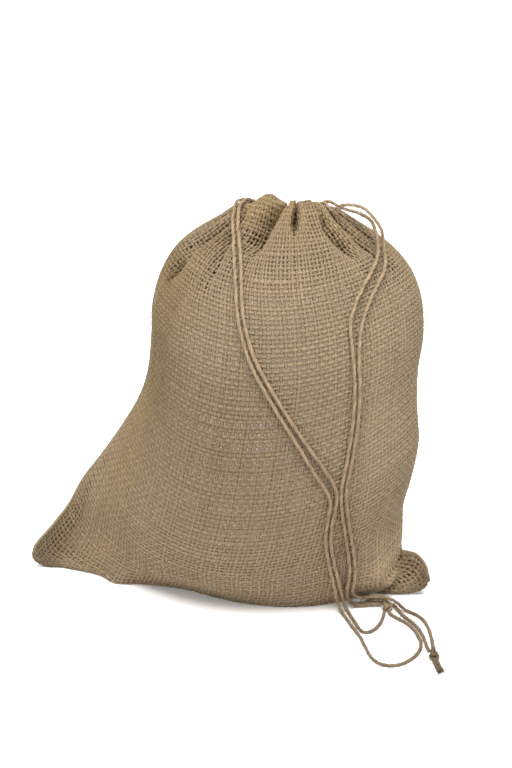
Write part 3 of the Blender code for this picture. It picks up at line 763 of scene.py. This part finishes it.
def with_middles(values, first, last):
    """The values with the ones halfway between them, and an end value before and after."""
    out = np.empty((values.shape[0], values.shape[1] * 2 + 1))
    out[:, 1::2] = values
    out[:, 2:-1:2] = (values[:, :-1] + values[:, 1:]) / 2
    out[:, 0] = first
    out[:, -1] = last
    return out


def yarn_widths(random, shape, width, pitch):
    """Half the width of each yarn at each point: uneven, with slubs, and held near half the pitch."""
    own = 1 + OWN_WIDTH * random.standard_normal((shape[0], 1))
    share = sum(noises(random, shape, UNEVENNESS), own).clip(*WIDTH_LIMITS)
    slubs = np.maximum(smooth_noise(random, shape, SLUB_REACH) - SLUB_START, 0) * SLUB_GROWTH
    return np.minimum(width / 2 * share * (1 + slubs), WIDEST * pitch)


def add_weave(side_name, grid, normal, tones_and_painted_light, seams, seed, material):
    """The warp and weft of one panel. seams is the inner end of each row, left and right."""
    random = np.random.default_rng(seed)
    across, up = crossings(random)
    over = np.where((np.arange(WARPS)[:, None] + np.arange(WEFTS)[None, :]) % 2 == 0, 1.0, -1.0)
    sets = (
        ("warp", across, up, over, WARP_WIDTH, 0.0),
        ("weft", up.T, across.T, -over.T, WEFT_WIDTH, -1.0),
    )
    for kind, own, run, lift, width, first in sets:
        own = with_middles(own, own[:, 0], own[:, -1])
        run = with_middles(run, first, 1.0)
        lift = with_middles(lift, 0, 0)
        places = (own, run) if kind == "warp" else (run, own)
        out = unit(sampled(normal, *places))
        base = sampled(grid, *places)
        apart = np.linalg.norm(np.diff(base, axis=0), axis=2)
        pitch = np.concatenate([apart[:1], (apart[1:] + apart[:-1]) / 2, apart[-1:]])
        centre = base - out * (CLOTH_DEPTH - CRIMP * lift)[..., None]
        if kind == "weft":
            for end, seam in zip((0, -1), seams):
                rows = np.arange(len(seam))
                centre[:, end] = between(seam, rows, own[:, end] * rows[-1])
        half_width = yarn_widths(random, own.shape, width, pitch)
        half_height = YARN_THICKNESS / 2 * (half_width / (width / 2)) ** 0.5
        tubes = (centre * MM, *framed(centre, out), half_width * MM, half_height * MM)
        # The yarns' tint carries painted light and shade as well as the cloth's tone.
        tint = cloth_tint_and_painted_light(tones_and_painted_light, *places)
        add_tubes(f"{kind}_{side_name}", tubes, YARN_CORNERS, tint, material, "hessian", "sack")


def seam_ends(front, back):
    """The lines inside the two side seams where the rows of both panels end."""
    both = (front + back) / 2
    middle = both[:, FINE_COLUMNS // 2]
    return [both[:, end] + unit(middle - both[:, end]) * SEAM_ALLOWANCE for end in (0, -1)]


def add_seams(front, back, material):
    """The yarn at the turned edge of each side seam, from the ear to the mouth."""
    both = (front + back) / 2
    left, middle, right = (evenly(both[:, end], 2 * WEFTS) for end in (0, FINE_COLUMNS // 2, -1))
    seams = np.stack([left, right])
    side, out = framed(seams, unit(seams - middle))
    half = np.full(seams.shape[:2], SEAM_YARN / 2 * MM)
    tubes = ((seams - out * SEAM_YARN / 2) * MM, side, out, half, half)
    add_tubes("seam_yarns", tubes, PLY_CORNERS, 1.0, material, "hessian", "sack")


def fullness(across, up):
    """1 where the wadding lies close behind the cloth, and 0 in the mouth, the ears and the seams."""
    full = smooth_step((FULL_DOWN[0] - up) / FULL_DOWN[1])
    full = full * smooth_step((FULL_ACROSS[0] - np.abs(across)) / FULL_ACROSS[1])
    return full * smooth_step((up - FULL_UP[0]) / FULL_UP[1])


def stuffed_panel(up, across, line, folds, swells, side):
    """One face of the stuffed body, its normals and its valleys, wider than the cloth's own."""
    wide = [(HOLLOW_DEPTH * f[0], HOLLOW_WIDTH * f[1], HOLLOW_WIDTH * f[2], *f[3:]) for f in folds]
    grid = smooth_panel(line, up, across)
    depth = -fold_height(wide, across, up)
    height = swell_height(swells, across, up) - depth
    grid = grid + side * outward(grid) * height[..., None]
    return grid, side * outward(grid), depth


def stuffing_rings(up, across, faces):
    """The stuffed body's rings from foot to top, and how pale each point is.

    It is pale, 1, where it lies close behind the cloth, and 0 in the hollows, where it takes a painted
    shade.
    """
    half = np.linalg.norm(faces[0][0] - faces[1][0], axis=2) / 2
    pales, sides = [], []
    for grid, normal, depth in faces:
        pale = fullness(across[None, :], up[:, None]) * (1 - smooth_step(depth / HOLLOW_START))
        inset = STUFFING_INSET + (HOLLOW_INSET - STUFFING_INSET) * (1 - pale)
        inset = np.minimum(inset, MOST_INSET * half)
        pales.append(pale)
        sides.append(grid - normal * inset[..., None])
    rings = []
    for height, front, back in zip(up, *sides):
        reach = SEAM_INSET + EAR_INSET * (1 - smooth_step(height / EAR_TOP))
        drawn = across * (1 - min(2 * reach / lengths_along(front)[-1], 0.5))
        ends = between(front, across, drawn), between(back, across, drawn)[::-1]
        rings.append(np.concatenate(ends))
    rings = np.array(rings)
    rings[..., 2] = np.maximum(rings[..., 2], STUFFING_FLOOR)
    return rings, np.concatenate([pales[0], pales[1][:, ::-1]], axis=1)


def add_stuffing(material):
    """The stuffed body under the weave: a closed loft whose top dips in the mouth."""
    up = np.linspace(STUFFING_FOOT, STUFFING_TOP, STUFFING_ROWS)
    across = np.sin(np.linspace(-math.pi / 2, math.pi / 2, STUFFING_COLUMNS))
    faces = [stuffed_panel(up, across, *form) for _, _, *form in PANELS]
    rings, pale = stuffing_rings(up, across, faces)
    count, size = rings.shape[:2]
    here = np.arange(count * size).reshape(count, size)
    beside = np.roll(here, -1, axis=1)
    quads = np.stack([here[:-1], beside[:-1], beside[1:], here[1:]], -1).reshape(-1, 4)
    foot, top = np.full(size, here.size), np.full(size, here.size + 1)
    low_fan = np.stack([beside[0], here[0], foot], -1)
    high_fan = np.stack([here[-1], beside[-1], top], -1)
    fans = np.concatenate([low_fan, high_fan])
    dip = rings[-1:].mean(1) - (0, 0, MOUTH_HOLLOW)
    vertices = np.concatenate([rings.reshape(-1, 3), rings[:1].mean(1), dip]) * MM
    corner_of = np.concatenate([quads.reshape(-1), fans.reshape(-1)])
    number = np.append(here, [0, here.size - 1])[corner_of]
    spot = np.stack([number % size / size, number // size / count], -1)
    mesh = mesh_from("stuffing", vertices, [quads, fans], spot)
    add_layer(mesh, "pale", "FLOAT", "POINT", "value", np.append(pale.ravel(), [0, 0]))
    add_piece(mesh, material, "hessian", "sack")


def fibre_lines(random, roots, away, along, lengths, lift, bend):
    """Fibres that leave their roots along a surface, bend to one side and lift off it."""
    t = np.linspace(0, 1, FIBRE_POINTS)[None, :, None]
    aside = np.cross(away, along)[:, None]
    lengths = lengths[:, None, None]
    turn = random.uniform(-bend, bend, (len(roots), 1, 1))
    rise = random.uniform(0, lift, (len(roots), 1, 1)) * t ** random.uniform(*FIBRE_RISES, turn.shape)
    forward = along[:, None] * (t - FIBRE_CURL * turn**2 * t**2) + aside * turn * t**2
    return roots[:, None] + lengths * forward + away[:, None] * rise


def fibre_lengths(random, lengths, count):
    """Random lengths: many short and few long."""
    shortest, mean, longest = lengths
    return (shortest + random.exponential(mean, count)).clip(0, longest)


def add_fibres(name, lines, away, thickness, tint, material, slot):
    """Thin tapered tubes along these lines."""
    half = thickness / 2 * np.linspace(1, FIBRE_TIP, FIBRE_POINTS) * np.ones((len(lines), 1)) * MM
    tubes = (lines * MM, *framed(lines, away[:, None]), half, half)
    add_tubes(name, tubes, FIBRE_CORNERS, tint, material, slot)


def add_cloth_fibres(side_name, grid, normal, tones_and_painted_light, seed, material):
    """Stray fibres that stand off one panel."""
    random = np.random.default_rng(seed)
    across, up = (random.uniform(*limits, CLOTH_FIBRES) for limits in CLOTH_FIBRE_AREA)
    away = unit(sampled(normal, across, up))
    roots = sampled(grid, across, up) - away * CLOTH_FIBRE_ROOT
    along = unit(np.cross(away, random.standard_normal((CLOTH_FIBRES, 3))))
    lengths = fibre_lengths(random, CLOTH_FIBRE_LENGTHS, CLOTH_FIBRES)
    lines = fibre_lines(random, roots, away, along, lengths, FIBRE_LIFT, CLOTH_FIBRE_BEND)
    lint = random.uniform(*LINT, (CLOTH_FIBRES, 1))
    # The fibres take the cloth's painted light and shade too.
    tint = (lint * cloth_tint_and_painted_light(tones_and_painted_light, across, up))[:, None]
    add_fibres(f"fibres_{side_name}", lines, away, FIBRE, tint, material, "hessian")


def laid(line, tree):
    """The line pushed clear of the bag, and up to the floor."""
    clear = (TWINE / 2 + GAP) * MM
    lowest = (TWINE / 2 + FLOOR_GAP) * MM
    out = []
    for point in line:
        point = Vector(point)
        spot, normal, _, distance = tree.find_nearest(point)
        if (point - spot).dot(normal) < 0 or distance < clear:
            point = spot + normal * clear
        point.z = max(point.z, lowest)
        out.append(tuple(point))
    return np.array(out)


def string_line(route, tree, step):
    """Points every step along a string's centreline: a smooth line through its route, laid down."""
    line = laid(through(route, ROUTE_POINTS) * MM, tree)
    for _ in range(STRING_SMOOTHINGS):
        line[1:-1] = (line[:-2] + 2 * line[1:-1] + line[2:]) / 4
    line = laid(line, tree)
    count = round(lengths_along(line)[-1] / (step * MM))
    return laid(evenly(line, count + 1), tree)


def carried_frames(line):
    """A side and an out direction at each point of a line, carried along it without twist."""
    forward = unit(np.gradient(line, axis=0))
    side = np.empty_like(line)
    side[0] = unit(np.cross(forward[0], (0.31, 0.47, 0.83)))
    for i in range(1, len(line)):
        side[i] = unit(side[i - 1] - forward[i] * (side[i - 1] @ forward[i]))
    return side, np.cross(forward, side)


def plies(line, seed):
    """Three uneven plies twisted round each other, as the tubes that add_tubes takes."""
    random = np.random.default_rng(seed)
    ply = TWINE / 2 / (1 + PLY_SPREAD)
    twist = 2 * math.pi * lengths_along(line) / (PLY_TURN * MM)
    drift, reach = TWIST_DRIFT
    twist = twist + drift * np.cumsum(smooth_noise(random, (1, len(line)), reach))
    angle = twist + 2 * math.pi * np.arange(PLIES)[:, None] / PLIES
    away = around(*carried_frames(line), angle[..., None])
    centre = line + away * ply * PLY_SPREAD * MM
    share, reach = PLY_WIDTH
    uneven = smooth_noise(random, (PLIES, len(line)), reach).clip(-2, 2)
    half = ply * (1 + share * uneven) * MM
    return centre, *framed(centre, away), half * PLY_FLATNESS, half


def add_twine(name, parts, tint, material, *nodes):
    """A piece of twisted twine from one or more sets of plies with as many points each."""
    tubes = [np.concatenate(part) for part in zip(*parts)]
    tint = twine_painted_light(tubes[0]) if tint is None else tint
    return add_tubes(name, tubes, PLY_CORNERS, tint, material, "jute_twine", *nodes)


def string_fibres(random, line):
    """Roots, outward directions and fibre lines all along a string, in millimetres."""
    line = line / MM
    run = lengths_along(line)
    count = round(run[-1] * STRING_FIBRES)
    spots = np.sort(random.uniform(0, run[-1], count))
    frames = (*carried_frames(line), unit(np.gradient(line, axis=0)), line)
    side, out, forward, middle = (between(values, run, spots) for values in frames)
    away = unit(around(side, out, random.uniform(0, 2 * math.pi, (count, 1))))
    along = unit(forward * random.choice((-1, 1), (count, 1)) + FIBRE_SLANT * away)
    lengths = fibre_lengths(random, STRING_FIBRE_LENGTHS, count)
    roots = middle + away * TWINE * STRING_FIBRE_ROOT
    return fibre_lines(random, roots, away, along, lengths, FIBRE_LIFT, STRING_FIBRE_BEND), away


def add_string(name, route, tree, seed, material):
    """One strand of twine, three uneven plies, and its stray fibres. Returns where it starts."""
    line = string_line(route, tree, STRING_STEP)
    piece = add_twine(name + "_twine", [plies(line, seed)], None, material, name)
    path = string_line(route, tree, PATH_STEP)
    lengths_along(path)[-1]
    lines, away = string_fibres(np.random.default_rng(seed), line)
    tint = STRING_LINT * twine_painted_light(lines * MM)
    add_fibres(name + "_fibres", lines, away, FIBRE, tint, material, "jute_twine")
    return line[0]


def add_entries(starts, tree, material):
    """The last bit of each string, from inside the mouth to its start."""
    parts = []
    for number, (name, entry) in enumerate(ENTRIES.items()):
        line = through([*entry, starts[name] / MM], 2 * ENTRY_POINTS) * MM
        line = laid(line, tree) if "right" in name else line
        parts.append(plies(evenly(line, ENTRY_POINTS), ENTRY_SEED + number))
    add_twine("string_entries", parts, None, material)


def fray(random, end, forward):
    """The yarns that a cut end frays into: lines and outward directions, in millimetres."""
    column = (FRAY_YARNS, 1)
    side = unit(np.cross(forward, (0.0, 0.0, 1.0)))
    away = around(side, np.cross(side, forward), random.uniform(0, 2 * math.pi, column))
    back = random.uniform(*FRAY_START, column)
    roots = end - forward * back + away * TWINE * FRAY_ROOT * random.uniform(*FRAY_DEPTHS, column)
    along = unit(forward + away * FRAY_SPREAD * random.uniform(0, 1, column))
    lengths = random.uniform(*FRAY_LENGTHS, FRAY_YARNS)
    return fibre_lines(random, roots, away, along, lengths, FRAY_LIFT, FRAY_BEND), away


def knot_line(x, y, heading, profile):
    """The centreline of an overhand knot that is pulled tight to its profile, in millimetres."""
    rows = np.array(profile)
    body = rows[rows[:, 2] >= KNOT_BODY]
    length = body[-1, 0] - body[0, 0] + TWINE
    width, height = 2 * body[:, 1].max(), 2 * body[:, 2].max()
    turn = math.radians(heading)
    forward = np.array((math.cos(turn), math.sin(turn), 0.0))
    aside = np.array((-forward[1], forward[0], 0.0))
    t = np.linspace(0, 2 * math.pi, KNOT_POINTS)
    loop = np.stack([np.sin(t) + 2 * np.sin(2 * t), np.cos(t) - 2 * np.cos(2 * t), -np.sin(3 * t)])
    loop = loop.T / (3.0, 3.0, 1.0) * (np.array((length, width, height)) - TWINE) / 2
    start = np.array((x, y, height / 2 + FLOOR_GAP))
    middle = start + forward * (body[0, 0] + body[-1, 0]) / 2
    return middle + loop @ np.array((forward, aside, (0.0, 0.0, 1.0)))


def add_knot(name, x, y, heading, profile, tails, light, seed, material):
    """An overhand knot of twine and its frayed tails. light is its colour's share, a painted shade."""
    random = np.random.default_rng(seed)
    line = knot_line(x, y, heading, profile) * MM
    parts = [plies(line, seed)]
    frays = []
    for number, route in enumerate(tails):
        tail = through(route, KNOT_POINTS)
        parts.append(plies(tail * MM, seed + 1 + number))
        frays.append(fray(random, tail[-1], unit(tail[-1] - tail[-6])))
        frays.append(string_fibres(random, tail * MM))
    frays.append(string_fibres(random, line))
    tint = light * (1 - TWINE_WARMTH * np.array(WARM))
    add_twine(name + "_tied", parts, tint, material, name)
    lines, away = (np.concatenate(part) for part in zip(*frays))
    add_fibres(name + "_frays", lines, away, FRAY, tint, material, "jute_twine")


def new_material(name, roughness):
    """A material of this roughness, its node tree and its shader."""
    material = bpy.data.materials.new(name)
    material.use_nodes = True
    shader = material.node_tree.nodes["Principled BSDF"]
    shader.inputs["Roughness"].default_value = roughness
    return material, material.node_tree, shader


def node(tree, kind, inputs, **settings):
    """A shader node with these settings, whose inputs are joined to outputs or set to values."""
    made = tree.nodes.new(kind)
    for key, value in settings.items():
        setattr(made, key, value)
    for key, value in inputs.items():
        if isinstance(value, bpy.types.NodeSocket):
            tree.links.new(value, made.inputs[key])
        else:
            made.inputs[key].default_value = value
    return made


def attribute(tree, name, output="Vector"):
    """What an attribute of the mesh says."""
    return node(tree, "ShaderNodeAttribute", {}, attribute_name=name).outputs[output]


def ramp(tree, share, *stops):
    """The colour at this share of the way between stops, each a share and a colour."""
    made = node(tree, "ShaderNodeValToRGB", {"Fac": share})
    for element, (position, colour) in zip(made.color_ramp.elements, stops):
        element.position = position
        element.color = (*colour, 1)
    return made.outputs["Color"]


def jute_material(name, dark, light):
    """Matte jute: fibres along the strand, each strand its own tone, and a soft twist."""
    material, tree, shader = new_material(name, 0.85)
    shader.inputs["Specular IOR Level"].default_value = 0.25
    strand = attribute(tree, "strand")

    def noise(detail, along, turn, number):
        scales = (along, turn, number)
        place = node(tree, "ShaderNodeVectorMath", {0: strand, 1: scales}, operation="MULTIPLY")
        inputs = {"Vector": place.outputs[0], "Scale": 1.0, "Detail": detail}
        return node(tree, "ShaderNodeTexNoise", inputs).outputs["Fac"]

    def mixed(a, b, share):
        inputs = {"A": a, "B": b, "Factor": share}
        return node(tree, "ShaderNodeMix", inputs, data_type="FLOAT").outputs["Result"]

    number = node(tree, "ShaderNodeSeparateXYZ", {0: strand}).outputs["Z"]
    own = node(tree, "ShaderNodeTexWhiteNoise", {"W": number}, noise_dimensions="1D").outputs["Value"]
    slow = noise(detail=2.0, along=45.0, turn=0.3, number=5.3)
    fibres = noise(detail=3.0, along=220.0, turn=9.0, number=3.1)
    tone = mixed(mixed(own, slow, 0.6), fibres, 0.45)
    colour = ramp(tree, tone, (0.25, dark), (0.75, light))
    # The tint attribute carries painted light and shade along with the piece's own tone.
    inputs = {"A": colour, "B": attribute(tree, "tint"), "Factor": 1.0}
    tinted = node(tree, "ShaderNodeMix", inputs, data_type="RGBA", blend_type="MULTIPLY")
    tree.links.new(tinted.outputs["Result"], shader.inputs["Base Color"])
    bump = node(tree, "ShaderNodeBump", {"Height": fibres, "Strength": 0.5, "Distance": 0.0003})
    tree.links.new(bump.outputs["Normal"], shader.inputs["Normal"])
    return material


def wadding_material():
    """Pale wadding that shows through the holes of the weave, and painted shade, dark brown, in the
    hollows.
    """
    material, tree, shader = new_material("wadding", 0.95)
    place = node(tree, "ShaderNodeTexCoord", {}).outputs["Object"]
    noise = node(tree, "ShaderNodeTexNoise", {"Vector": place, "Scale": 35.0}).outputs["Fac"]
    wadding = ramp(tree, noise, (0.35, WADDING_BROWN), (0.70, WADDING_PALE))
    inputs = {"A": (*HOLLOW_PAINTED_SHADE, 1), "B": wadding, "Factor": attribute(tree, "pale", "Fac")}
    mix = node(tree, "ShaderNodeMix", inputs, data_type="RGBA")
    tree.links.new(mix.outputs["Result"], shader.inputs["Base Color"])
    return material


def floor_material():
    """One plain colour with a faint glow of its own, painted light that pales the shadows on it."""
    material, _, shader = new_material("pale_floor", FLOOR_ROUGHNESS)
    shader.inputs["Base Color"].default_value = (*FLOOR_COLOUR, 1)
    shader.inputs["Emission Color"].default_value = (1, 1, 1, 1)
    shader.inputs["Emission Strength"].default_value = FLOOR_GLOW
    return material


def aim(thing, azimuth, elevation, distance):
    """Puts a camera or a light at these angles from the bag, in degrees, and turns it to the bag."""
    a, e = math.radians(azimuth), math.radians(elevation)
    away = Vector((math.sin(a) * math.cos(e), -math.cos(a) * math.cos(e), math.sin(e)))
    thing.location = Vector(LOOK_AT) + away * distance
    thing.rotation_euler = (-away).to_track_quat("-Z", "Y").to_euler()


def add_camera():
    """The camera, at the bag's own viewing angle."""
    lens = bpy.data.cameras.new("camera")
    lens.sensor_width = SENSOR
    lens.lens = LENS
    lens.clip_start = NEAREST_SEEN
    camera = add_object("camera", lens)
    aim(camera, AZIMUTH, ELEVATION, DISTANCE)
    bpy.context.scene.camera = camera


def add_light(name, kind, azimuth, elevation, distance, power):
    """A light that faces the bag."""
    lamp = bpy.data.lights.new(name, kind)
    lamp.energy = power
    aim(add_object(name, lamp), azimuth, elevation, distance)
    return lamp


def add_studio():
    """A plain pale floor, a white surround and soft lights."""
    mesh = bpy.data.meshes.new("floor")
    corners = [(x * FLOOR_REACH, y * FLOOR_REACH, 0) for x, y in ((-1, -1), (1, -1), (1, 1), (-1, 1))]
    mesh.from_pydata(corners, [], [(0, 1, 2, 3)])
    mesh.materials.append(floor_material())
    add_object("floor", mesh)
    surround = bpy.data.worlds.new("surround")
    surround.use_nodes = True
    sky = surround.node_tree.nodes["Background"]
    sky.inputs["Color"].default_value = (1, 1, 1, 1)
    sky.inputs["Strength"].default_value = SURROUND_LIGHT
    bpy.context.scene.world = surround
    add_light(*KEY_LIGHT).angle = math.radians(KEY_SPREAD)
    add_light(*FILL_LIGHT).size = FILL_SIZE
    bpy.context.scene.view_settings.view_transform = "Standard"


def add_strings(material):
    """The four strings, their last bits in the mouth, and the knots that join them."""
    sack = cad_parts["sack"].data
    corners = [vertex.co for vertex in sack.vertices]
    tree = BVHTree.FromPolygons(corners, [tuple(face.vertices) for face in sack.polygons])
    starts = {}
    for seed, (name, route) in enumerate(ROUTES.items(), STRING_SEED):
        starts[name] = add_string(name, route, tree, seed, material)
    add_entries(starts, tree, material)
    for number, knot in enumerate(KNOTS):
        add_knot(*knot, KNOT_SEED + KNOT_SEED_STEP * number, material)


def add_cloth(material):
    """Both panels of the cloth with their stray fibres, and the seams between them."""
    grids = [folded_panel(*form) for _, _, *form in PANELS]
    seams = seam_ends(*grids)
    for number, (grid, (name, tones_and_painted_light, *_, side)) in enumerate(zip(grids, PANELS)):
        normal = side * outward(grid)
        add_weave(name, grid, normal, tones_and_painted_light, seams, WEAVE_SEED + number, material)
        add_cloth_fibres(name, grid, normal, tones_and_painted_light, FIBRE_SEED + number, material)
    add_seams(*grids, material)


add_camera()
add_strings(jute_material("jute_twine", TWINE_DARK, TWINE_LIGHT))
add_cloth(jute_material("hessian", YARN_DARK, YARN_LIGHT))
add_stuffing(wadding_material())
add_studio()
